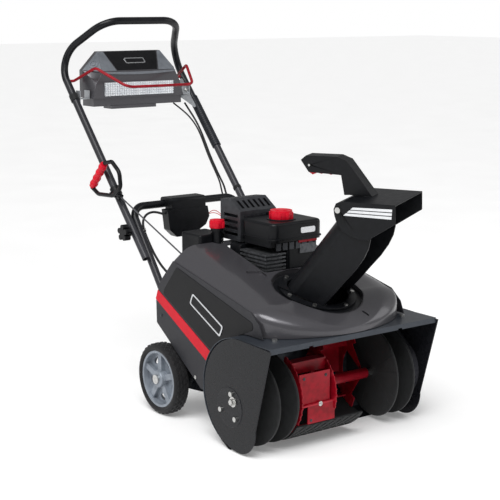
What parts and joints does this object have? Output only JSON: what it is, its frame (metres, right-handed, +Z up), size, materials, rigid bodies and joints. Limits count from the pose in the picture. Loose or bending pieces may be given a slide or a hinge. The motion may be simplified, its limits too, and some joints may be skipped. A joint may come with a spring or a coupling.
{
  "type": "single stage snowblower",
  "caption": "Walk-behind petrol snowblower with a rubber-bladed auger, turning chute, tilting deflector and folding handle.",
  "frame": {"origin": "on the ground under the middle of the bounding box", "axes": "+X across the machine to the operator's right as seen from the front, +Y from the auger mouth to the handle, +Z up"},
  "size_m": [0.588, 1.2541, 1.0781],
  "materials": {
    "painted_black": "satin black powder coat",
    "painted_grey": "dark grey enamel",
    "painted_red": "red powder coat",
    "zinc": "zinc plate",
    "guard_steel": "heatproof dark grey",
    "cast_alloy": "cast",
    "hood_plastic": "metallic charcoal",
    "black_plastic": "moulded black",
    "red_plastic": "moulded red",
    "rim_plastic": "moulded grey",
    "tyre_rubber": "tread rubber",
    "black_rubber": "reinforced rubber and cable sheath",
    "clear_lens": "ribbed clear lens",
    "reflector": "vacuum metallised"
  },
  "bodies": {
    "frame": {"auger_housing": "painted_grey", "side_plate_left": "painted_black", "side_plate_right": "painted_black", "scraper_bar": "black_plastic", "auger_bearings": "zinc", "frame_bolts": "zinc", "belt_guard": "painted_black", "belt_lid": "painted_black", "hood": "hood_plastic", "side_cover_left": "black_plastic", "side_cover_right": "black_plastic", "chassis": "painted_black", "axle_brackets": "painted_black", "wheel_axle": "zinc", "lower_handle": "painted_black", "engine_block": "cast_alloy", "recoil_housing": "black_plastic", "air_box": "black_plastic", "fuel_tank": "black_plastic", "oil_filler": "black_plastic", "muffler": "painted_black", "muffler_guard": "guard_steel", "chute_collar": "black_plastic", "switch_box": "black_plastic", "switch_cable": "black_rubber", "drive_belt": "black_rubber", "starter_rope": "black_rubber"},
    "wheel_left": {"rim_left": "rim_plastic", "tyre_left": "tyre_rubber"},
    "wheel_right": {"rim_right": "rim_plastic", "tyre_right": "tyre_rubber"},
    "auger": {"auger_shaft": "zinc", "auger_paddles": "painted_red", "rubber_paddles": "black_rubber", "auger_flight_right": "black_rubber", "auger_flight_left": "black_rubber", "auger_pulley": "zinc"},
    "engine_crank": {"engine_pulley": "zinc"},
    "belt_idler": {"idler_arm": "painted_black"},
    "idler_wheel": {"idler_pulley": "black_plastic"},
    "chute": {"chute": "black_plastic", "chute_bolts": "zinc"},
    "deflector": {"deflector": "black_plastic", "deflector_bolts": "zinc"},
    "trigger": {"deflector_trigger": "red_plastic"},
    "upper_handle": {"upper_handle": "painted_black", "console_shell": "hood_plastic", "headlight_lens": "clear_lens", "headlight_lamp": "reflector", "console_brackets": "painted_black", "rope_guide": "black_plastic", "control_cable": "black_rubber", "headlight_lead": "black_rubber"},
    "bail": {"bail": "painted_red"},
    "knob_left": {"fold_knob_left": "black_plastic"},
    "knob_right": {"fold_knob_right": "black_plastic"},
    "starter_handle": {"starter_loop": "black_plastic", "starter_grip": "red_plastic"},
    "fuel_cap": {"fuel_cap": "red_plastic"},
    "oil_cap": {"oil_cap": "red_plastic"}
  },
  "joints": [
    {"name": "wheel_left_spin", "type": "hinge", "parent": "frame", "child": "wheel_left", "pos_m": [0, 0.0309, 0.1], "axis": [1, 0, 0], "continuous": true},
    {"name": "wheel_right_spin", "type": "hinge", "parent": "frame", "child": "wheel_right", "pos_m": [0, 0.0309, 0.1], "axis": [1, 0, 0], "continuous": true},
    {"name": "auger_spin", "type": "hinge", "parent": "frame", "child": "auger", "pos_m": [0, -0.3511, 0.133], "axis": [1, 0, 0], "continuous": true},
    {"name": "crank_spin", "type": "hinge", "parent": "frame", "child": "engine_crank", "pos_m": [0, -0.1341, 0.335], "axis": [1, 0, 0], "continuous": true},
    {"name": "idler_swing", "type": "hinge", "parent": "frame", "child": "belt_idler", "pos_m": [0, -0.2651, 0.243], "axis": [1, 0, 0], "range_deg": [0, 3]},
    {"name": "idler_spin", "type": "hinge", "parent": "belt_idler", "child": "idler_wheel", "pos_m": [0, -0.2241, 0.218], "axis": [1, 0, 0], "continuous": true},
    {"name": "chute_turn", "type": "hinge", "parent": "frame", "child": "chute", "pos_m": [0, -0.3341, 0.369], "axis": [0, -0.2756, 0.9613], "range_deg": [-122, 78]},
    {"name": "deflector_tilt", "type": "hinge", "parent": "chute", "child": "deflector", "pos_m": [0.01723, -0.45172, 0.62448], "axis": [0.9272, 0.3601, 0.1033], "range_deg": [-12, 30]},
    {"name": "trigger_squeeze", "type": "hinge", "parent": "deflector", "child": "trigger", "pos_m": [-0.03222, -0.35117, 0.71781], "axis": [-0.9272, -0.3601, -0.1033], "range_deg": [0, 8], "stiffness_Nm_per_rad": 0.3, "springref_deg": -17.19},
    {"name": "handle_fold", "type": "hinge", "parent": "frame", "child": "upper_handle", "pos_m": [0, 0.2309, 0.479], "axis": [-1, 0, 0], "range_deg": [0, 90], "deforming": ["control_cable", "headlight_lead", "starter_rope"]},
    {"name": "bail_squeeze", "type": "hinge", "parent": "upper_handle", "child": "bail", "pos_m": [0, 0.59335, 0.888], "axis": [-1, 0, 0], "range_deg": [0, 61], "stiffness_Nm_per_rad": 0.5, "springref_deg": -45.84},
    {"name": "knob_left_turn", "type": "hinge", "parent": "frame", "child": "knob_left", "pos_m": [0, 0.2309, 0.479], "axis": [1, 0, 0], "continuous": true},
    {"name": "knob_right_turn", "type": "hinge", "parent": "frame", "child": "knob_right", "pos_m": [0, 0.2309, 0.479], "axis": [1, 0, 0], "continuous": true},
    {"name": "starter_pull", "type": "slide", "parent": "upper_handle", "child": "starter_handle", "axis": [-0.2496, 0.6489, 0.7188], "range_m": [0, 0.6], "stiffness_N_per_m": 15, "springref_m": -0.5},
    {"name": "fuel_cap_lift", "type": "slide", "parent": "frame", "child": "fuel_cap", "axis": [0, 0, 1], "range_m": [0, 0.08]},
    {"name": "oil_cap_lift", "type": "slide", "parent": "frame", "child": "oil_cap", "axis": [0, 0, 1], "range_m": [0, 0.08]}
  ],
  "couplings": [
    {"joint": "crank_spin", "follows": "auger_spin", "ratio": 2.1355},
    {"joint": "idler_swing", "follows": "bail_squeeze", "ratio": 0.049179}
  ]
}
